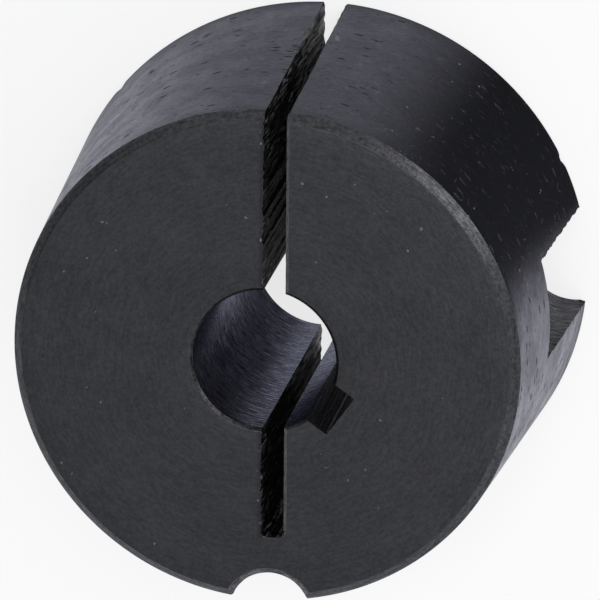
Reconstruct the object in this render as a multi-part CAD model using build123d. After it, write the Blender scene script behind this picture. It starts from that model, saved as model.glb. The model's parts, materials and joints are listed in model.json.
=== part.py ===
from build123d import *
import math
import os

# A split taper bush: a short cast cone that is squeezed onto a shaft as two screws draw it into a
# hub of the same taper. Millimetres. The large end stands on z = 0, the bore runs along +Z towards
# the small end, and the saw cut that splits the wall is on the +Y side.

# Cone
LENGTH = 22.3
LARGE_END_DIAMETER = 35.0
TAPER_ANGLE = 4.0
LARGE_END_CHAMFER = 0.4
SMALL_END_CHAMFER = 0.55

# Bore and keyway
BORE_DIAMETER = 9.0
BORE_CHAMFER = 0.2
KEYWAY_WIDTH = 3.0
KEYWAY_DEPTH = 1.4
KEYWAY_DIRECTION = -35.0

# Saw cut through the wall, and the relief slot cut on the same line on the far side of the bore
SLOT_WIDTH = 1.42
SLOT_OFFSET = 0.58
SLOT_EDGE_BREAK = 0.2
RELIEF_CORNER_RADIUS = 0.45
RELIEF_WEB = 2.5

# Half-holes for the screws, on one circle just inside the large end's rim. Directions are in degrees
# from +X, turning towards +Y.
SCREW_CIRCLE_INSET = 0.83
CLEARANCE_HOLE_DIAMETER = 6.5
CLEARANCE_HOLE_DEPTH = 12.7
CLEARANCE_HOLE_DIRECTIONS = (4.75, 184.75)
TAPPED_HOLE_DIAMETER = 5.1
TAPPED_HOLE_CHAMFER = 0.25
TAPPED_HOLE_DIRECTION = -88.6

# Largest share of a slot's width that one rounded corner may take
CORNER_SHARE = 0.49

# How far a cutting shape runs past the surface that it opens
CUT_OVERRUN = 2.0

large_end_radius = LARGE_END_DIAMETER / 2
small_end_radius = large_end_radius - LENGTH * math.tan(math.radians(TAPER_ANGLE))
bore_radius = BORE_DIAMETER / 2
keyway_floor = bore_radius + KEYWAY_DEPTH
screw_circle_radius = large_end_radius - SCREW_CIRCLE_INSET
tapped_hole_radius = TAPPED_HOLE_DIAMETER / 2
relief_reach = screw_circle_radius - tapped_hole_radius - RELIEF_WEB
relief_corner_radius = min(RELIEF_CORNER_RADIUS, CORNER_SHARE * SLOT_WIDTH)
outer_reach = large_end_radius + CUT_OVERRUN


def cone_radius(height):
    """Radius of the tapered outside at a height above the large end."""
    return large_end_radius - height * math.tan(math.radians(TAPER_ANGLE))


def turned_body():
    """The cone with its bore and edge chamfers, as one profile turned about the bore axis."""
    profile = Polyline(
        (bore_radius + BORE_CHAMFER, 0),
        (large_end_radius - LARGE_END_CHAMFER, 0),
        (cone_radius(LARGE_END_CHAMFER), LARGE_END_CHAMFER),
        (cone_radius(LENGTH - SMALL_END_CHAMFER), LENGTH - SMALL_END_CHAMFER),
        (small_end_radius - SMALL_END_CHAMFER, LENGTH),
        (bore_radius + BORE_CHAMFER, LENGTH),
        (bore_radius, LENGTH - BORE_CHAMFER),
        (bore_radius, BORE_CHAMFER),
        close=True,
    )
    return revolve(Plane.XZ * make_face(profile), Axis.Z)


def keyway():
    """A flat-floored groove along the whole bore, on its own direction."""
    groove = Pos(keyway_floor / 2, 0) * Rectangle(keyway_floor, KEYWAY_WIDTH)
    return extrude(Rot(0, 0, KEYWAY_DIRECTION) * groove, LENGTH)


def split():
    """The saw cut from the bore out through the rim, along the whole length."""
    cut = Pos(SLOT_OFFSET, outer_reach / 2) * Rectangle(SLOT_WIDTH, outer_reach)
    return extrude(cut, LENGTH)


def relief_slot():
    """The blind slot opposite the split, with a rounded end, along the whole length."""
    slot = Pos(SLOT_OFFSET, -relief_reach / 2) * Rectangle(SLOT_WIDTH, relief_reach)
    end_corners = slot.vertices().sort_by(Axis.Y)[:2]
    return extrude(fillet(end_corners, relief_corner_radius), LENGTH)


def slot_edge_break():
    """The broken edge on the +X side of both slots, at the small end."""
    wall = SLOT_OFFSET + SLOT_WIDTH / 2
    triangle = Polyline(
        (wall, LENGTH - SLOT_EDGE_BREAK),
        (wall + SLOT_EDGE_BREAK, LENGTH),
        (wall, LENGTH),
        close=True,
    )
    run = outer_reach + relief_reach - relief_corner_radius
    return extrude(Plane.XZ.offset(-outer_reach) * make_face(triangle), run)


def clearance_half_hole(direction):
    """A plain flat-bottomed half-hole for a screw, drilled from the large end."""
    hole = extrude(Circle(CLEARANCE_HOLE_DIAMETER / 2), CLEARANCE_HOLE_DEPTH)
    return Rot(0, 0, direction) * Pos(screw_circle_radius, 0, 0) * hole


def tapped_half_hole():
    """The through half-hole at its tapping size, opened by a chamfer at both ends."""
    mouth_radius = tapped_hole_radius + TAPPED_HOLE_CHAMFER
    profile = Polyline(
        (0, 0),
        (mouth_radius, 0),
        (tapped_hole_radius, TAPPED_HOLE_CHAMFER),
        (tapped_hole_radius, LENGTH - TAPPED_HOLE_CHAMFER),
        (mouth_radius, LENGTH),
        (0, LENGTH),
        close=True,
    )
    hole = revolve(Plane.XZ * make_face(profile), Axis.Z)
    return Rot(0, 0, TAPPED_HOLE_DIRECTION) * Pos(screw_circle_radius, 0, 0) * hole


taper_bush = turned_body() - keyway() - split() - relief_slot() - slot_edge_break()
for direction in CLEARANCE_HOLE_DIRECTIONS:
    taper_bush -= clearance_half_hole(direction)
taper_bush -= tapped_half_hole()

os.makedirs("parts", exist_ok=True)
export_step(taper_bush, "parts/taper_bush.step")
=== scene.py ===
import json
import math

import bpy
import numpy as np
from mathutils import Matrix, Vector


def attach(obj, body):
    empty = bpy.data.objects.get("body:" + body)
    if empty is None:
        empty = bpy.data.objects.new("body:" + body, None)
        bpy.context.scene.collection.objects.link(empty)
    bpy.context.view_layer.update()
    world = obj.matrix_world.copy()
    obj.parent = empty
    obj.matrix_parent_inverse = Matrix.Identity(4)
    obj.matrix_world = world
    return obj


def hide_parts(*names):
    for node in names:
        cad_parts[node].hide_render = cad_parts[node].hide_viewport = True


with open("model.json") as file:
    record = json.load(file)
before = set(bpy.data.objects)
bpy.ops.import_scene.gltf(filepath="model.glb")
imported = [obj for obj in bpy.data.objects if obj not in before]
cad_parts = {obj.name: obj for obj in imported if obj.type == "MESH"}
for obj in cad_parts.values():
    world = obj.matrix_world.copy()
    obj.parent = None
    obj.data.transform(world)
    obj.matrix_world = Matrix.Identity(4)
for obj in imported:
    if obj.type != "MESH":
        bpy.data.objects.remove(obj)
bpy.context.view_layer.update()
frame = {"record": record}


# The blank: a short cone of grey cast iron, turned all over and bored, with its edges chamfered. It is
# a closed ring of metal, and everything else is cut out of it. It is blackened last of all, so each
# surface has the same thin bluish oxide and differs in its tool marks and in the dirt it holds. One
# side of the bore also carries painted shade.
MM = 0.001
bore_mount = next(mount for mount in frame["record"]["mounts"] if mount["name"] == "bore")
LENGTH = bore_mount["dims"]["length_mm"]
BORE_RADIUS = bore_mount["dims"]["r_mm"]
BORE_CHAMFER = 0.2
LARGE_END_RADIUS = 17.5
TAPER = math.tan(math.radians(4.0))
LARGE_END_CHAMFER = 0.4
SMALL_END_CHAMFER = 0.55
EDGE_ROUNDING = 0.03
STEPS_AROUND = 480


def add(tree, kind, inputs=None, **settings):
    """A shader node with its settings. An input takes a plain value or another node's output."""
    made = tree.nodes.new("ShaderNode" + kind)
    for name, value in settings.items():
        setattr(made, name, value)
    for name, value in (inputs or {}).items():
        if isinstance(value, bpy.types.NodeSocket):
            tree.links.new(value, made.inputs[name])
        else:
            made.inputs[name].default_value = value
    return made


def calc(tree, operation, first, second=0.0, third=0.0, clamp=False):
    """The output of one arithmetic node."""
    inputs = {0: first, 1: second, 2: third}
    return add(tree, "Math", inputs, operation=operation, use_clamp=clamp).outputs[0]


def vector_calc(tree, operation, first, second=(0, 0, 0), third=(0, 0, 0)):
    """The vector that one vector arithmetic node gives."""
    inputs = {0: first, 1: second, 2: third}
    return add(tree, "VectorMath", inputs, operation=operation).outputs["Vector"]


def measure(tree, operation, first, second=(0, 0, 0)):
    """The single value that one vector arithmetic node gives."""
    return add(tree, "VectorMath", {0: first, 1: second}, operation=operation).outputs["Value"]


def split(tree, vector):
    """The X, Y and Z of a vector."""
    return add(tree, "SeparateXYZ", {"Vector": vector}).outputs


def total(tree, start, *terms, clamp=False):
    """A starting value plus each value times its weight, kept from 0 to 1 if asked."""
    for value, weight in terms:
        start = calc(tree, "MULTIPLY_ADD", value, weight, start)
    return calc(tree, "ADD", start, clamp=True) if clamp else start


def product(tree, first, *others):
    """The product of some values."""
    for value in others:
        first = calc(tree, "MULTIPLY", first, value)
    return first


def largest(tree, first, *others):
    """The largest of some values."""
    for value in others:
        first = calc(tree, "MAXIMUM", first, value)
    return first


def noise(tree, vector, scale=1.0, detail=2.0, roughness=0.5):
    """The height of a soft random relief, about 0.5 on average."""
    inputs = {"Vector": vector, "Scale": scale, "Detail": detail, "Roughness": roughness}
    return add(tree, "TexNoise", inputs, noise_dimensions="3D").outputs["Fac"]


def fade(tree, value, low, high, out_low=0.0, out_high=1.0):
    """A value carried smoothly from one range to another and held at the ends."""
    inputs = {"Value": value, "From Min": low, "From Max": high, "To Min": out_low, "To Max": out_high}
    return add(tree, "MapRange", inputs, interpolation_type="SMOOTHSTEP").outputs["Result"]


def blend(tree, share, first, second):
    """One colour going over into another by a share from 0 to 1."""
    return add(tree, "Mix", {0: share, 6: first, 7: second}, data_type="RGBA").outputs[2]


def in_millimetres(tree):
    """Object coordinates in millimetres."""
    place = add(tree, "TexCoord").outputs["Object"]
    return add(tree, "Mapping", {"Vector": place, "Scale": (1 / MM,) * 3}).outputs["Vector"]


def new_group(name, inputs, outputs):
    """An empty node group with named sockets, and its input and output nodes."""
    group = bpy.data.node_groups.new(name, "ShaderNodeTree")
    for label, kind, value in inputs:
        socket = group.interface.new_socket(label, in_out="INPUT", socket_type="NodeSocket" + kind)
        socket.default_value = value
    for label in outputs:
        group.interface.new_socket(label, in_out="OUTPUT", socket_type="NodeSocketFloat")
    return group, group.nodes.new("NodeGroupInput").outputs, group.nodes.new("NodeGroupOutput").inputs


def use(tree, group, **inputs):
    """A placed node group's outputs."""
    return add(tree, "Group", inputs, node_tree=group).outputs


# Tool marks: lines drawn out in the direction the tool moved, some deep and some faint.
drawn_marks, given, result = new_group(
    "drawn_marks", [("Vector", "Vector", (0, 0, 0)), ("Stretch", "Vector", (1, 1, 1))], ["Lines", "Bands"]
)
stretched = vector_calc(drawn_marks, "MULTIPLY", given["Vector"], given["Stretch"])
lines = fade(drawn_marks, noise(drawn_marks, stretched, 1.0, 3.0, 0.65), 0.3, 0.7)
bands = fade(drawn_marks, noise(drawn_marks, stretched, 0.31, 1.0), 0.35, 0.65)
drawn_marks.links.new(lines, result["Lines"])
drawn_marks.links.new(bands, result["Bands"])

# Oxide: the blackening takes a little more or less on each grain of the iron, and in wider clouds.
oxide_tone, given, result = new_group(
    "oxide_tone", [("Vector", "Vector", (0, 0, 0)), ("Grain", "Float", 4.0)], ["Grain", "Cloud"]
)
grain = fade(oxide_tone, noise(oxide_tone, given["Vector"], given["Grain"], 2.0, 0.6), 0.28, 0.72)
cloud = fade(oxide_tone, noise(oxide_tone, given["Vector"], 0.33, 3.0, 0.6), 0.3, 0.7)
oxide_tone.links.new(grain, result["Grain"])
oxide_tone.links.new(cloud, result["Cloud"])

# Flecks: separate spots in about one cell out of so many, each of its own size and ragged outline.
# They serve as pores of the casting, as dents, as burrs and as dust.
flecks, given, result = new_group(
    "flecks",
    [
        ("Vector", "Vector", (0, 0, 0)),
        ("Stretch", "Vector", (1, 1, 1)),
        ("Reach", "Float", 0.25),
        ("Share", "Float", 0.5),
    ],
    ["Spots"],
)
stretched = vector_calc(flecks, "MULTIPLY", given["Vector"], given["Stretch"])
ragged = add(flecks, "TexNoise", {"Vector": stretched, "Scale": 4.0, "Detail": 1.0}).outputs["Color"]
shaken = vector_calc(flecks, "MULTIPLY_ADD", ragged, (0.3, 0.3, 0.3), stretched)
cells = add(flecks, "TexVoronoi", {"Vector": shaken, "Scale": 1.0, "Randomness": 1.0}).outputs
draw = add(flecks, "SeparateColor", {"Color": cells["Color"]}).outputs
size = calc(flecks, "MULTIPLY", given["Reach"], fade(flecks, draw["Red"], 0.0, 1.0, 0.35, 1.0))
off_middle = calc(flecks, "DIVIDE", cells["Distance"], size)
inside = calc(flecks, "SUBTRACT", 1.0, off_middle, clamp=True)
chosen = calc(flecks, "LESS_THAN", draw["Green"], given["Share"])
spots = fade(flecks, calc(flecks, "MULTIPLY", inside, chosen), 0.0, 0.45)
flecks.links.new(spots, result["Spots"])

# Hairs: thin curved threads, such as scratches and lint, which keep to a few patches.
hairs, given, result = new_group(
    "hairs",
    [
        ("Vector", "Vector", (0, 0, 0)),
        ("Scale", "Float", 1.0),
        ("Width", "Float", 0.01),
        ("Share", "Float", 0.4),
    ],
    ["Threads"],
)
level = noise(hairs, given["Vector"], given["Scale"], 0.5)
off_line = calc(hairs, "ABSOLUTE", calc(hairs, "SUBTRACT", level, 0.5))
thread = calc(hairs, "SUBTRACT", 1.0, calc(hairs, "DIVIDE", off_line, given["Width"]), clamp=True)
patch = noise(hairs, given["Vector"], calc(hairs, "MULTIPLY", given["Scale"], 1.7), 1.0)
patch_edge = calc(hairs, "SUBTRACT", 1.0, given["Share"])
in_patch = calc(hairs, "MULTIPLY", calc(hairs, "SUBTRACT", patch, patch_edge), 12.0, clamp=True)
hairs.links.new(calc(hairs, "MULTIPLY", thread, in_patch), result["Threads"])

DUST = (0.2, 0.2, 0.215, 1)
CONE_TINT = (0.89, 0.9, 1.0, 1)
FLAT_TINT = (0.9, 0.91, 0.96, 1)


def iron(name, tint):
    """A blackened iron material: itself, its nodes, its Principled shader's inputs and the place on
    the bush in millimetres. The tint colours what it mirrors at a grazing angle."""
    material = bpy.data.materials.new(name)
    material.use_nodes = True
    tree = material.node_tree
    sockets = tree.nodes["Principled BSDF"].inputs
    sockets["Specular Tint"].default_value = tint
    sockets["Metallic"].default_value = 1.0
    return material, tree, sockets, in_millimetres(tree)


def finish(tree, sockets, colour, gloss, height, dust=None):
    """Joins the finished colour, gloss and relief (in millimetres) to the shader, with dust on top."""
    if dust is not None:
        colour = blend(tree, dust, colour, DUST)
        tree.links.new(calc(tree, "SUBTRACT", 1.0, dust), sockets["Metallic"])
    tree.links.new(colour, sockets["Base Color"])
    tree.links.new(gloss, sockets["Roughness"])
    relief = add(tree, "Bump", {"Height": height, "Strength": 1.0, "Distance": MM})
    tree.links.new(relief.outputs["Normal"], sockets["Normal"])


def worked_iron(
    name, tint, dark, light, grain, stretch,
    tone_share, line_share, gloss, line_gloss, line_height, grain_height,
):
    """An iron surface that shows only its grain and the lines of one tool: both lighten it from dark
    to light by their shares, and the lines change its gloss."""
    material, tree, sockets, place = iron(name, tint)
    tone = use(tree, oxide_tone, Vector=place, Grain=grain)
    marks = use(tree, drawn_marks, Vector=place, Stretch=stretch)
    lightness = total(tree, 0.0, (marks["Lines"], line_share), (tone["Grain"], tone_share))
    colour = blend(tree, lightness, dark, light)
    roughness = total(tree, gloss, (marks["Lines"], line_gloss))
    height = total(tree, 0.0, (tone["Grain"], grain_height), (marks["Lines"], line_height))
    finish(tree, sockets, colour, roughness, height)
    return material


# The turned cone: satin, with faint turning lines, and pores and handling dents drawn out around it.
# The casting is more open on the side away from the saw cut.
cone_iron, tree, sockets, place = iron("turned_cone", CONE_TINT)
tone = use(tree, oxide_tone, Vector=place, Grain=3.2)
marks = use(tree, drawn_marks, Vector=place, Stretch=(0.5, 0.5, 3.6))
pore_share = fade(tree, split(tree, place)["Y"], -8.0, 8.0, 0.8, 0.28)
pores = use(tree, flecks, Vector=place, Stretch=(0.9, 0.9, 2.1), Reach=0.36, Share=pore_share)["Spots"]
pits = use(tree, flecks, Vector=place, Stretch=(1.9, 1.9, 1.6), Reach=0.26, Share=0.5)["Spots"]
specks = use(tree, flecks, Vector=place, Stretch=(0.9, 0.9, 0.9), Reach=0.12, Share=0.3)["Spots"]
lint = use(tree, hairs, Vector=place, Scale=0.8, Width=0.011, Share=0.46)["Threads"]
scuffs = use(tree, hairs, Vector=place, Scale=1.9, Width=0.02, Share=0.4)["Threads"]
smears = fade(tree, noise(tree, place, 0.42, 3.0, 0.6), 0.36, 0.64)
hue = fade(tree, noise(tree, place, 0.21, 2.0), 0.35, 0.65)
colour = blend(tree, hue, (0.038, 0.04, 0.046, 1), (0.043, 0.041, 0.048, 1))
lightness = total(tree, 0.0, (marks["Lines"], 0.35), (tone["Grain"], 0.5))
colour = blend(tree, lightness, colour, (0.062, 0.063, 0.071, 1))
gloss = total(tree, 0.3, (tone["Grain"], -0.06), (tone["Cloud"], 0.05), (smears, 0.09))
gloss = total(tree, gloss, (pores, 0.5), (pits, 0.18), clamp=True)
height = total(tree, 0.0, (tone["Grain"], 0.005), (marks["Lines"], 0.003), (pores, -0.16), (pits, -0.016))
dust = largest(tree, product(tree, specks, 0.9), product(tree, lint, 0.45), product(tree, scuffs, 0.22))
finish(tree, sockets, colour, gloss, height, dust)

# The turned ends: duller, with fine rings round the bore, a few light specks and short scratches. The
# saw left a darker strip with burrs beside its cut. The rings run at a constant distance from the axis.
end_iron, tree, sockets, place = iron("turned_end", FLAT_TINT)
part = split(tree, place)
flat = add(tree, "CombineXYZ", {"X": part["X"], "Y": part["Y"], "Z": 0.0}).outputs[0]
from_axis = measure(tree, "LENGTH", flat)
ring_place = add(tree, "CombineXYZ", {"X": part["X"], "Y": part["Y"], "Z": from_axis}).outputs[0]
tone = use(tree, oxide_tone, Vector=place, Grain=4.5)
marks = use(tree, drawn_marks, Vector=ring_place, Stretch=(1.1, 1.1, 5.5))
specks = use(tree, flecks, Vector=place, Stretch=(1.2, 1.2, 1.2), Reach=0.13, Share=0.3)["Spots"]
burrs = use(tree, flecks, Vector=place, Stretch=(4.5, 3.0, 1.0), Reach=0.4, Share=0.5)["Spots"]
scratches = use(tree, hairs, Vector=place, Scale=0.8, Width=0.005, Share=0.36)["Threads"]
lightness = total(tree, 0.0, (marks["Lines"], 0.38), (tone["Grain"], 0.42), (tone["Cloud"], 0.12))
colour = blend(tree, lightness, (0.036, 0.037, 0.041, 1), (0.066, 0.067, 0.074, 1))
gloss = total(tree, 0.42, (tone["Cloud"], 0.05))
height = total(tree, 0.0, (tone["Grain"], 0.003), (marks["Lines"], 0.003))
by_slot = product(
    tree,
    fade(tree, part["X"], -0.5, -0.18),
    fade(tree, part["X"], 0.0, 0.3, 1.0, 0.0),
    fade(tree, part["Y"], -12.0, -11.5),
)
colour = blend(tree, product(tree, by_slot, 0.45), colour, (0.018, 0.018, 0.02, 1))
dust = largest(
    tree, product(tree, specks, 0.5), product(tree, scratches, 0.14), product(tree, by_slot, burrs, 0.8)
)
finish(tree, sockets, colour, gloss, height, dust)

# The chamfers: left a little brighter than the ends by the form tool, with streaks around the edge.
rim_edge_iron, bore_edge_iron = [
    worked_iron(
        name, FLAT_TINT, dark, light, grain=4.0, stretch=(0.8, 0.8, 9.0), tone_share=0.55, line_share=0.45,
        gloss=0.46, line_gloss=-0.12, line_height=0.006, grain_height=0.005,
    )
    for name, dark, light in [
        ("chamfered_edge", (0.03, 0.031, 0.034, 1), (0.1, 0.101, 0.11, 1)),
        ("bore_edge", (0.014, 0.014, 0.016, 1), (0.075, 0.076, 0.083, 1)),
    ]
]

# The bored wall: rings left by the feed of the boring tool, a few open pores and torn metal on the +X
# side. The side toward -140 degrees has painted shade: its colour is darkened and its gloss dulled.
BORING_FEED = 0.4
PAINTED_SHADE_SIDE = (math.cos(math.radians(-140)), math.sin(math.radians(-140)), 0.0)
bore_iron, tree, sockets, place = iron("bored_wall", (0.75, 0.76, 0.9, 1))
part = split(tree, place)
tone = use(tree, oxide_tone, Vector=place, Grain=4.0)
marks = use(tree, drawn_marks, Vector=place, Stretch=(1.1, 1.1, 6.0))
pores = use(tree, flecks, Vector=place, Stretch=(0.8, 0.8, 0.8), Reach=0.16, Share=0.16)["Spots"]
torn = use(tree, flecks, Vector=place, Stretch=(2.0, 2.0, 1.6), Reach=0.4, Share=0.55)["Spots"]
torn = product(tree, torn, fade(tree, part["X"], 0.8, 1.8))
feed_depth = total(tree, part["Z"], (noise(tree, place, 0.6, 1.0), 0.5))
feed = calc(tree, "SINE", product(tree, feed_depth, 2 * math.pi / BORING_FEED))
lightness = total(tree, 0.0, (marks["Lines"], 0.6), (tone["Grain"], 0.35), (tone["Cloud"], 0.2))
colour = blend(tree, lightness, (0.012, 0.013, 0.018, 1), (0.095, 0.097, 0.122, 1))
# Painted shade: the wall facing -140 degrees is darkened and dulled, for the dark that it mirrors there.
toward_painted_shade_side = calc(tree, "SUBTRACT", measure(tree, "DOT_PRODUCT", place, PAINTED_SHADE_SIDE), 0.35)
toward_painted_shade_side = total(tree, toward_painted_shade_side, (noise(tree, place, 1.2, 3.0, 0.6), 0.7))
painted_shade_on_bore = fade(tree, toward_painted_shade_side, 3.2, 4.7)
colour = blend(tree, painted_shade_on_bore, colour, (0.004, 0.004, 0.005, 1))
colour = blend(tree, pores, colour, (0.003, 0.003, 0.003, 1))
gloss = total(tree, 0.48, (marks["Lines"], -0.3), (tone["Grain"], -0.1), (torn, 0.4))
gloss = total(tree, gloss, (painted_shade_on_bore, 0.36), (pores, 0.5), clamp=True)
height = total(tree, 0.0, (feed, 0.003), (marks["Lines"], 0.016), (pores, -0.05), (torn, -0.04))
finish(tree, sockets, colour, gloss, height)


def cone_radius(height_mm):
    """Outside radius at a height: the large end's radius less the height times the taper."""
    return LARGE_END_RADIUS - height_mm * TAPER


def rounded_loop(corners, counts, rounding, arc_steps=3):
    """A closed outline with each corner P replaced by the curve (1-t)^2 A + 2t(1-t) P + t^2 B, where A
    and B lie `rounding` before and after P, and side i divided into counts[i] steps. Returns the
    points and, for each point, the number of its side."""
    corners = np.asarray(corners, float)
    ahead = np.roll(corners, -1, axis=0) - corners
    ahead /= np.linalg.norm(ahead, axis=1)[:, None]
    leave = corners + rounding * ahead
    arrive = corners - rounding * np.roll(ahead, 1, axis=0)
    t = np.linspace(0, 1, arc_steps + 1)[:-1, None]
    points, sides = [], []
    for i, count in enumerate(counts):
        points.append((1 - t) ** 2 * arrive[i] + 2 * t * (1 - t) * corners[i] + t**2 * leave[i])
        s = np.linspace(0, 1, count + 1)[:-1, None]
        points.append((1 - s) * leave[i] + s * arrive[(i + 1) % len(corners)])
        sides += [i] * (len(t) + count)
    return np.concatenate(points), np.array(sides)


def grid_faces(rows, columns, close_rows):
    """Corner numbers of the quads of a grid whose columns wrap round, and whose rows do if asked."""
    last = rows if close_rows else rows - 1
    i, j = np.meshgrid(np.arange(last), np.arange(columns), indexing="ij")
    below = (i + 1) % rows
    beside = (j + 1) % columns
    quads = [i * columns + j, i * columns + beside, below * columns + beside, below * columns + j]
    return np.stack(quads, axis=-1).reshape(-1, 4)


def mesh_object(name, points, faces, materials, slots):
    """An object from points in millimetres, faces as lists of corners, and each face's material."""
    mesh = bpy.data.meshes.new(name)
    mesh.from_pydata((np.asarray(points).reshape(-1, 3) * MM).tolist(), [], faces)
    for material in materials:
        mesh.materials.append(material)
    mesh.polygons.foreach_set("material_index", np.asarray(slots, np.int32))
    made = bpy.data.objects.new(name, mesh)
    bpy.context.scene.collection.objects.link(made)
    return made


# The blank's outline in a plane through the axis, as (radius, height), turned about the axis: each
# point goes to (radius cos t, radius sin t, height). The large end stands on the floor. Each side of
# the outline has its number of steps and the number of its finish.
bore_mouth = BORE_RADIUS + BORE_CHAMFER
profile_corners = [
    (bore_mouth, 0),
    (LARGE_END_RADIUS - LARGE_END_CHAMFER, 0),
    (cone_radius(LARGE_END_CHAMFER), LARGE_END_CHAMFER),
    (cone_radius(LENGTH - SMALL_END_CHAMFER), LENGTH - SMALL_END_CHAMFER),
    (cone_radius(LENGTH) - SMALL_END_CHAMFER, LENGTH),
    (bore_mouth, LENGTH),
    (BORE_RADIUS, LENGTH - BORE_CHAMFER),
    (BORE_RADIUS, BORE_CHAMFER),
]
blank_finishes = [cone_iron, end_iron, rim_edge_iron, bore_iron, bore_edge_iron]
profile_steps = [8, 2, 26, 3, 8, 2, 26, 2]
profile_finish = np.array([1, 2, 0, 2, 1, 4, 3, 4])

profile, side_of_step = rounded_loop(profile_corners, profile_steps, EDGE_ROUNDING)
turn = np.linspace(0, 2 * np.pi, STEPS_AROUND, endpoint=False)
profile_r = profile[:, :1]
profile_z = np.broadcast_to(profile[:, 1:], (len(profile), STEPS_AROUND))
blank_points = np.stack([profile_r * np.cos(turn), profile_r * np.sin(turn), profile_z], axis=-1)

# Knocks in the rim of the large end, each (angle in degrees, depth): it draws the metal in by its depth
# times exp(-(angle off / KNOCK_ANGLE)^2) exp(-(height / KNOCK_HEIGHT)^2).
RIM_KNOCKS = [(26.5, 0.16), (141.0, 0.1), (214.0, 0.12), (303.0, 0.1)]
KNOCK_ANGLE = 1.0
KNOCK_HEIGHT = 1.2
rim_fall = np.exp(-((profile_z / KNOCK_HEIGHT) ** 2)) * (profile_r > LARGE_END_RADIUS - 1)
knocks = sum(
    depth * np.exp(-(((np.degrees(turn) - angle) / KNOCK_ANGLE) ** 2)) for angle, depth in RIM_KNOCKS
)
blank_points[:, :, :2] *= (1 - knocks * rim_fall / LARGE_END_RADIUS)[:, :, None]
blank_faces = grid_faces(len(profile), STEPS_AROUND, close_rows=True)[:, ::-1].tolist()
blank_slots = np.repeat(profile_finish[side_of_step], STEPS_AROUND)
bush = mesh_object("taper_bush_body", blank_points, blank_faces, blank_finishes, blank_slots)


# The keyway: a 3 mm slot broached along the whole bore for the shaft's key. The broach leaves square
# corners with small radii, and faint lines along its stroke. Marks are (height, width, length).
BEYOND_ENDS = 1.0
KEYWAY_WIDTH = 3.0
KEYWAY_DEPTH = 1.4
KEYWAY_DIRECTION = math.radians(-35.0)
KEYWAY_CORNER = 0.12
KEYWAY_START = 2.0
BROACH_LINES = (0.012, 0.22, 15.0)
rng = np.random.default_rng(1008)


def rough(u, v, mark):
    """Random heights up to the mark's height either way on a lattice of cells, blended smoothly from
    lattice point to lattice point by s^2 (3 - 2s). Cells have the mark's width along u and its length
    along v, the distances along the surface."""
    depth, width, length = mark
    a = (u - u.min()) / width
    b = (v - v.min()) / length
    i = a.astype(int)
    j = b.astype(int)
    heights = rng.uniform(-1, 1, (i.max() + 2, j.max() + 2))
    s = a - i
    t = b - j
    s = s * s * (3 - 2 * s)
    t = t * t * (3 - 2 * t)
    low = heights[i, j] * (1 - s) + heights[i + 1, j] * s
    high = heights[i, j + 1] * (1 - s) + heights[i + 1, j + 1] * s
    return depth * (low * (1 - t) + high * t)


def placed(x, y, z, direction):
    """Points of a tool shape after a turn by `direction` about the axis."""
    c, s = math.cos(direction), math.sin(direction)
    return np.stack([x * c - y * s, x * s + y * c, np.broadcast_to(z, np.shape(x))], axis=-1)


def cutter(name, rings, finishes, slots=0):
    """A closed tool shape from rings of points, lowest ring first, each ring anticlockwise. The slots
    give the finish of each quad between the rings, and the ends take the first finish."""
    count, steps = rings.shape[:2]
    faces = grid_faces(count, steps, close_rows=False).tolist()
    faces.append(list(range(steps))[::-1])
    faces.append(list(range((count - 1) * steps, count * steps)))
    slots = np.append(np.broadcast_to(slots, (count - 1, steps)).ravel(), [0, 0])
    return mesh_object(name, rings, faces, finishes, slots)


broached_iron = worked_iron(
    "broached_wall", (0.65, 0.65, 0.68, 1), dark=(0.03, 0.03, 0.033, 1), light=(0.075, 0.075, 0.082, 1),
    grain=4.0, stretch=(6.0, 6.0, 0.3), tone_share=0.4, line_share=0.6,
    gloss=0.36, line_gloss=0.15, line_height=0.01, grain_height=0.006,
)

half = KEYWAY_WIDTH / 2
key_floor = BORE_RADIUS + KEYWAY_DEPTH
key_corners = [(KEYWAY_START, -half), (key_floor, -half), (key_floor, half), (KEYWAY_START, half)]
key_outline, _ = rounded_loop(key_corners, [36, 30, 36, 8], KEYWAY_CORNER)
key_heights = np.linspace(-BEYOND_ENDS, LENGTH + BEYOND_ENDS, 24)
key_across, key_z = np.meshgrid(np.arange(len(key_outline)) * 0.1, key_heights)
key_push = 1 + rough(key_across, key_z, BROACH_LINES) / half
key_x = KEYWAY_START + (key_outline[:, 0] - KEYWAY_START) * key_push
key_y = key_outline[:, 1] * key_push
keyway = cutter("keyway_cut", placed(key_x, key_y, key_z, KEYWAY_DIRECTION), [broached_iron])


# The saw cut: one slitting saw goes through the wall on the +Y side, crosses the bore and stops short
# of the tapped half-hole, so that the bush can close on its shaft. Its teeth leave long ridges along
# the bore, torn edges on one side and an edge broken with a file on the other.
SLOT_WIDTH = 1.42
SLOT_OFFSET = 0.58
SLOT_CORNER = 0.45
EDGE_BREAK_WIDTH = 0.2
EDGE_BREAK_DEPTH = 0.12
RIM_BREAK = 0.15
SCREW_CIRCLE = LARGE_END_RADIUS - 0.83
TAPPED_RADIUS = 2.55
RELIEF_WEB = 2.5
SLOT_PAST_RIM = 1.5
SAW_RIDGES = (0.05, 0.3, 16.0)
SAW_FINE_RIDGES = (0.022, 0.12, 7.0)
SAW_NICKS = (1.0, 0.3, 0.8)
NICK_START = 0.3
NICK_DEPTH = 0.16
TORN_HEIGHT = 0.6
SAW_LEAN = 0.02
WALLS_APART = 50.0

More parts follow.
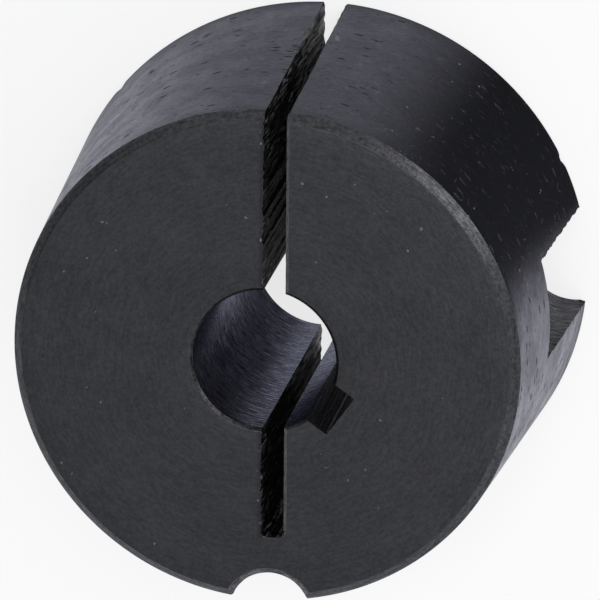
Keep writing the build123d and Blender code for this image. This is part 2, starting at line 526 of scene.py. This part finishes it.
sawn_iron, tree, sockets, place = iron("sawn_wall", (0.3, 0.3, 0.31, 1))
depth = split(tree, place)["Z"]
tone = use(tree, oxide_tone, Vector=place, Grain=3.0)
marks = use(tree, drawn_marks, Vector=place, Stretch=(6.5, 6.5, 0.6))
torn = use(tree, flecks, Vector=place, Stretch=(3.0, 3.0, 1.3), Reach=0.45, Share=0.5)["Spots"]
by_edge = product(tree, torn, fade(tree, depth, LENGTH - 0.7, LENGTH - 0.1))
lines = calc(tree, "ADD", marks["Lines"], fade(tree, depth, 3.0, 15.0, 0.42, 0.0))
streaks = product(tree, fade(tree, lines, 0.58, 0.95), fade(tree, marks["Bands"], 0.0, 1.0, 0.35, 1.0))
lightness = largest(tree, total(tree, 0.0, (streaks, 0.85), (tone["Grain"], 0.1)), by_edge)
colour = blend(tree, lightness, (0.015, 0.015, 0.016, 1), (0.6, 0.6, 0.61, 1))
gloss = total(tree, 0.4, (streaks, 0.12))
height = total(tree, 0.0, (tone["Grain"], 0.015), (marks["Lines"], 0.04))
finish(tree, sockets, colour, gloss, height)

filed_iron = worked_iron(
    "filed_edge", FLAT_TINT, dark=(0.14, 0.141, 0.15, 1), light=(0.24, 0.241, 0.25, 1),
    grain=3.5, stretch=(8.0, 0.9, 8.0), tone_share=0.5, line_share=0.5,
    gloss=0.4, line_gloss=0.1, line_height=0.006, grain_height=0.006,
)

slot_left = SLOT_OFFSET - SLOT_WIDTH / 2
slot_right = SLOT_OFFSET + SLOT_WIDTH / 2
slot_end = -(SCREW_CIRCLE - TAPPED_RADIUS - RELIEF_WEB)
slot_mouth = LARGE_END_RADIUS + SLOT_PAST_RIM
slot_corners = [
    (slot_left, slot_end),
    (slot_right, slot_end),
    (slot_right, slot_mouth),
    (slot_left, slot_mouth),
]
slot_outline, _ = rounded_loop(slot_corners, [2, 300, 4, 300], SLOT_CORNER, arc_steps=5)
break_start = LENGTH - EDGE_BREAK_DEPTH
slot_heights = np.concatenate(
    [
        [-BEYOND_ENDS],
        np.linspace(0, LENGTH - 1, 44),
        np.linspace(LENGTH - 0.9, break_start, 9),
        [LENGTH + 0.1, LENGTH + BEYOND_ENDS],
    ]
)
slot_y, slot_z = np.meshgrid(slot_outline[:, 1], slot_heights)
slot_x = np.broadcast_to(slot_outline[:, 0], slot_y.shape).copy()
outward = np.clip((slot_x - SLOT_OFFSET) / (SLOT_WIDTH / 2), -1, 1)
on_right = outward > 0.99

# Ridges run along the bore, leaning a little, and fade out before the filed edge. On the torn side
# they run on to the end, with nicks where the random height passes NICK_START.
wall_y = slot_y + np.where(slot_x > SLOT_OFFSET, WALLS_APART, 0.0) + SAW_LEAN * slot_z
ridges = rough(wall_y, slot_z, SAW_RIDGES) + rough(wall_y, slot_z, SAW_FINE_RIDGES)
near_edge = np.clip(1 - (LENGTH - slot_z) / TORN_HEIGHT, 0, 1)
nicks = NICK_DEPTH * np.clip(rough(wall_y, slot_z, SAW_NICKS) - NICK_START, 0, None)
slot_x += outward * np.where(on_right, ridges * (1 - near_edge), ridges + nicks * near_edge)

# The broken edges: the right wall leans out over the last EDGE_BREAK_DEPTH below the small end, and by
# RIM_BREAK where it comes out at the cone.
break_slope = EDGE_BREAK_WIDTH / EDGE_BREAK_DEPTH
slot_x += np.where(on_right, break_slope * np.clip(slot_z - break_start, 0, 0.1 + EDGE_BREAK_DEPTH), 0)
below_cone = cone_radius(slot_z) - np.hypot(slot_x, slot_y)
slot_x += np.where(on_right & (slot_y > 0), np.clip(RIM_BREAK - below_cone, 0, 2 * RIM_BREAK), 0)
filed = on_right[:-1] & (slot_z[:-1] > break_start - 0.001)
saw_rings = np.stack([slot_x, slot_y, slot_z], axis=-1)
saw_cut = cutter("saw_cut", saw_rings, [sawn_iron, filed_iron], filed)


# The two plain half-holes: a drill with a flat end goes in from the large end, half in the bush and
# half in its hub, and the set screws bear on their flat bottoms. The drill leaves coarse torn rings.
CLEARANCE_RADIUS = 3.25
CLEARANCE_DEPTH = 12.7
CLEARANCE_DIRECTIONS = [math.radians(4.75), math.radians(184.75)]
DRILL_RINGS = (0.05, 0.42, 5.0)
DRILL_CHATTER = (0.035, 0.2, 1.6)
RING_CLIMB = 0.03

drilled_iron = worked_iron(
    "drilled_wall", (0.95, 0.95, 1.0, 1), dark=(0.02, 0.02, 0.023, 1), light=(0.17, 0.17, 0.185, 1),
    grain=4.0, stretch=(0.9, 0.9, 4.5), tone_share=0.3, line_share=0.6,
    gloss=0.5, line_gloss=-0.25, line_height=0.09, grain_height=0.02,
)

drill_turn, drill_z = np.meshgrid(
    np.linspace(0, 2 * np.pi, 120, endpoint=False), np.linspace(-BEYOND_ENDS, CLEARANCE_DEPTH, 110)
)
drill_arc = np.abs(drill_turn - np.pi) * CLEARANCE_RADIUS
clearance_holes = []
for number, direction in enumerate(CLEARANCE_DIRECTIONS):
    drill_r = CLEARANCE_RADIUS + rough(drill_z + RING_CLIMB * drill_arc, drill_arc, DRILL_RINGS)
    drill_r += rough(drill_z, drill_arc, DRILL_CHATTER)
    drill_x = SCREW_CIRCLE + drill_r * np.cos(drill_turn)
    rings = placed(drill_x, drill_r * np.sin(drill_turn), drill_z, direction)
    clearance_holes.append(cutter(f"clearance_hole_{number + 1}", rings, [drilled_iron]))


# The tapped half-hole: drilled right through, countersunk at both ends and tapped with a quarter inch
# thread of 20 turns an inch. A screw in it pushes the bush back out of its hub.
TAPPED_CHAMFER = 0.45
COUNTERSINK_SLOPE = 1.2
TAPPED_DIRECTION = math.radians(-88.6)
THREAD_PITCH = 1.27
THREAD_DEPTH = 0.58
THREAD_FLAT = 0.2
THREAD_STEPS = 400
THREAD_RUN_IN = 0.5
THREAD_TEARS = (0.012, 0.5, 0.3)

# The groove's depth goes with (1 + FLAT)(1 - cos(2 pi helix)) / 2 - FLAT, kept from 0 to 1, where helix
# is the height in turns less the share of a turn. It fades in from the countersink at each end.
thread_turn, thread_z = np.meshgrid(
    np.linspace(0, 2 * np.pi, 96, endpoint=False),
    np.linspace(-BEYOND_ENDS, LENGTH + BEYOND_ENDS, THREAD_STEPS),
)
helix = thread_z / THREAD_PITCH - thread_turn / (2 * np.pi)
groove = (1 + THREAD_FLAT) * (0.5 - 0.5 * np.cos(2 * np.pi * helix)) - THREAD_FLAT
from_end = np.minimum(thread_z, LENGTH - thread_z)
groove = np.clip(groove, 0, 1) * np.clip((from_end - TAPPED_CHAMFER) / THREAD_RUN_IN, 0, 1)
countersink = TAPPED_RADIUS + TAPPED_CHAMFER - np.clip(from_end, 0, None) * COUNTERSINK_SLOPE
thread_r = np.maximum(TAPPED_RADIUS + THREAD_DEPTH * groove, countersink)
thread_r += rough(thread_turn * TAPPED_RADIUS, thread_z, THREAD_TEARS)
thread_x = SCREW_CIRCLE + thread_r * np.cos(thread_turn)
thread_rings = placed(thread_x, thread_r * np.sin(thread_turn), thread_z, TAPPED_DIRECTION)
tapped_hole = cutter("tapped_hole", thread_rings, [drilled_iron])


# The finished bush: each cut is taken out of the blank in turn, and its walls keep the finish that
# the tool left. The bush is one piece of metal with nothing fixed to it.
SHARP_ANGLE = math.radians(28)
cuts = [keyway, saw_cut, *clearance_holes, tapped_hole]
for cut in cuts:
    step = bush.modifiers.new(cut.name, "BOOLEAN")
    step.operation = "DIFFERENCE"
    step.solver = "EXACT"
    step.material_mode = "TRANSFER"
    step.object = cut
cut_mesh = bpy.data.meshes.new_from_object(bush.evaluated_get(bpy.context.evaluated_depsgraph_get()))
bush.modifiers.clear()
bush.data = cut_mesh
for cut in cuts:
    bpy.data.objects.remove(cut)
cut_mesh.polygons.foreach_set("use_smooth", np.ones(len(cut_mesh.polygons), bool))
cut_mesh.set_sharp_from_angle(angle=SHARP_ANGLE)

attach(bush, "root")
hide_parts("taper_bush")


# The studio: a pale floor that keeps the bush's shadow, a pale room with a dark opening on one side, and
# three soft boxes. One stands by the camera, one to the right, and a low one at the upper right lights
# the chamfers. A card lies on the floor under the bush and is seen only in the iron that mirrors it. It
# carries painted shadow and painted half shade, so the iron shows a painted reflection of shade.
FLOOR_SIZE = 3000.0
FLOOR_LIFT = 0.75
FLOOR_COLOUR = (0.88, 0.88, 0.89, 1)
DULL = 0.9

floor_paint = bpy.data.materials.new("pale_floor")
floor_paint.use_nodes = True
tree = floor_paint.node_tree
paint = tree.nodes["Principled BSDF"]
paint.inputs["Base Color"].default_value = FLOOR_COLOUR
paint.inputs["Roughness"].default_value = DULL
paint.inputs["Specular IOR Level"].default_value = 0.2
rays = add(tree, "LightPath").outputs
seen = largest(tree, rays["Is Camera Ray"], rays["Is Glossy Ray"], rays["Is Transmission Ray"])
lift = product(tree, seen, FLOOR_LIFT)
glow = add(tree, "Emission", {"Color": (1, 1, 1, 1), "Strength": 1.0}).outputs[0]
lifted = add(tree, "MixShader", {0: lift, 1: paint.outputs[0], 2: glow}).outputs[0]
tree.links.new(lifted, tree.nodes["Material Output"].inputs["Surface"])
floor_corners = FLOOR_SIZE * np.array([(-1, -1, 0), (1, -1, 0), (1, 1, 0), (-1, 1, 0)])
mesh_object("floor", floor_corners, [[0, 1, 2, 3]], [floor_paint], [0])

# The card is a ring around the bore, painted with the shade that the iron is to mirror. It has painted
# shadow near the rim, standing for a contact shadow, and under the saw cut. It also has painted shadow
# between a slanting line at the lower right and a soft edge at the top, standing for the bush's shadow on
# the floor. It has painted half shade beyond that edge, in the direction CARD_TOP, and is nearly white
# elsewhere.
CARD_RADIUS = 60.0
CARD_HOLE = 6.0
CARD_HEIGHT = 0.1
CARD_STEPS = 64
# The card's colours: near white, painted half shade and painted shadow.
CARD_LIGHT = (0.97, 0.97, 0.97, 1)
CARD_PAINTED_HALF_SHADE = (0.57, 0.57, 0.57, 1)
CARD_PAINTED_SHADOW = (0.06, 0.06, 0.06, 1)
CARD_SLANT = (0.412, 0.911, 0.0)
CARD_TOP = math.radians(80)

painted_shade_card_material = bpy.data.materials.new("grey_card")
painted_shade_card_material.use_nodes = True
tree = painted_shade_card_material.node_tree
place = in_millimetres(tree)
part = split(tree, place)
radius = measure(tree, "LENGTH", place)
angle = calc(tree, "ARCTAN2", part["Y"], part["X"])
past_slant = fade(tree, measure(tree, "DOT_PRODUCT", place, CARD_SLANT), 9.7, 11.7)
side = product(tree, past_slant, fade(tree, angle, math.radians(46), math.radians(78), 1.0, 0.0))
off_rim = calc(tree, "ABSOLUTE", calc(tree, "SUBTRACT", radius, LARGE_END_RADIUS - 0.2))
off_saw = calc(tree, "ABSOLUTE", calc(tree, "SUBTRACT", part["X"], SLOT_OFFSET))
shadow_painted_under_saw = product(
    tree,
    fade(tree, off_saw, 1.5, 3.0, 1.0, 0.0),
    fade(tree, part["Y"], 1.0, 3.0),
    fade(tree, part["Y"], 10.0, 14.0, 1.0, 0.0),
)
# Painted shadow: the dark parts of the card, which the iron mirrors as a painted reflection of shade.
painted_shadow_share = largest(tree, side, fade(tree, off_rim, 0.2, 0.45, 1.0, 0.0), shadow_painted_under_saw)
off_top = calc(tree, "ABSOLUTE", calc(tree, "SUBTRACT", angle, CARD_TOP))
away_from_top = fade(tree, off_top, math.radians(20), math.radians(65))
lightness = largest(tree, away_from_top, fade(tree, radius, 17.5, 25.0, 0.65, 0.0))
painted_reflection_greys = blend(tree, lightness, CARD_PAINTED_HALF_SHADE, CARD_LIGHT)
painted_reflection_greys = blend(tree, painted_shadow_share, painted_reflection_greys, CARD_PAINTED_SHADOW)
tree.links.new(painted_reflection_greys, tree.nodes["Principled BSDF"].inputs["Base Color"])
tree.nodes["Principled BSDF"].inputs["Roughness"].default_value = DULL
card_turn = np.linspace(0, 2 * np.pi, CARD_STEPS, endpoint=False)
card_r, card_z = np.array([CARD_HOLE, CARD_RADIUS])[:, None], np.full((2, CARD_STEPS), CARD_HEIGHT)
card_points = np.stack([card_r * np.cos(card_turn), card_r * np.sin(card_turn), card_z], axis=-1)
card_faces = grid_faces(2, CARD_STEPS, close_rows=False)[:, ::-1].tolist()
card = mesh_object("grey_card", card_points, card_faces, [painted_shade_card_material], np.zeros(len(card_faces)))
card.visible_camera = False
card.visible_diffuse = False
card.visible_shadow = False

# The room gives an even pale light, and the opening is a soft dark round in the direction given.
ROOM_LIGHT = 0.6
OPENING_DIRECTION = (-0.985, 0.17, 0.0)
OPENING_COLOUR = (0.05, 0.05, 0.05, 1)
room = bpy.data.worlds.new("pale_room")
room.use_nodes = True
tree = room.node_tree
toward = add(tree, "TexCoord").outputs["Generated"]
opening = measure(tree, "DOT_PRODUCT", toward, OPENING_DIRECTION)
room_colour = blend(tree, fade(tree, opening, 0.74, 0.91), (1, 1, 1, 1), OPENING_COLOUR)
tree.links.new(room_colour, tree.nodes["Background"].inputs["Color"])
tree.nodes["Background"].inputs["Strength"].default_value = ROOM_LIGHT
bpy.context.scene.world = room


def soft_box(name, azimuth, elevation, distance, size, share):
    """A square soft box seen from the bush at an azimuth and elevation in degrees. Its power is the
    share of full light that it gives to a white floor: power = share pi^2 distance^2 / sin(elevation)."""
    a = math.radians(azimuth)
    e = math.radians(elevation)
    light = bpy.data.lights.new(name, "AREA")
    light.shape = "SQUARE"
    light.size = size
    light.energy = share * math.pi**2 * distance**2 / math.sin(e)
    lamp = bpy.data.objects.new(name, light)
    toward = Vector((math.cos(a) * math.cos(e), math.sin(a) * math.cos(e), math.sin(e)))
    lamp.location = toward * distance
    lamp.rotation_euler = toward.to_track_quat("Z", "Y").to_euler()
    bpy.context.scene.collection.objects.link(lamp)


soft_box("box_by_camera", azimuth=61, elevation=72, distance=0.6, size=0.2, share=0.3)
soft_box("box_right", azimuth=-45, elevation=40, distance=0.5, size=0.25, share=0.13)
soft_box("box_low", azimuth=36, elevation=18, distance=0.4, size=0.2, share=0.078)

# The camera stands almost over the small end, a little to the side of the saw cut. Place in metres, turn
# in degrees, sensor and lens in millimetres.
CAMERA_PLACE = (0.057917, 0.10698, 0.347842)
CAMERA_TURN = (-17.2178, 9.870, 0.529)
SENSOR_WIDTH = 36.0
LENS = 336.1
view = bpy.data.cameras.new("camera")
view.sensor_width = SENSOR_WIDTH
view.lens = LENS
camera = bpy.data.objects.new("camera", view)
camera.location = CAMERA_PLACE
camera.rotation_euler = [math.radians(angle) for angle in CAMERA_TURN]
bpy.context.scene.collection.objects.link(camera)
bpy.context.scene.camera = camera
bpy.context.scene.view_settings.view_transform = "Standard"
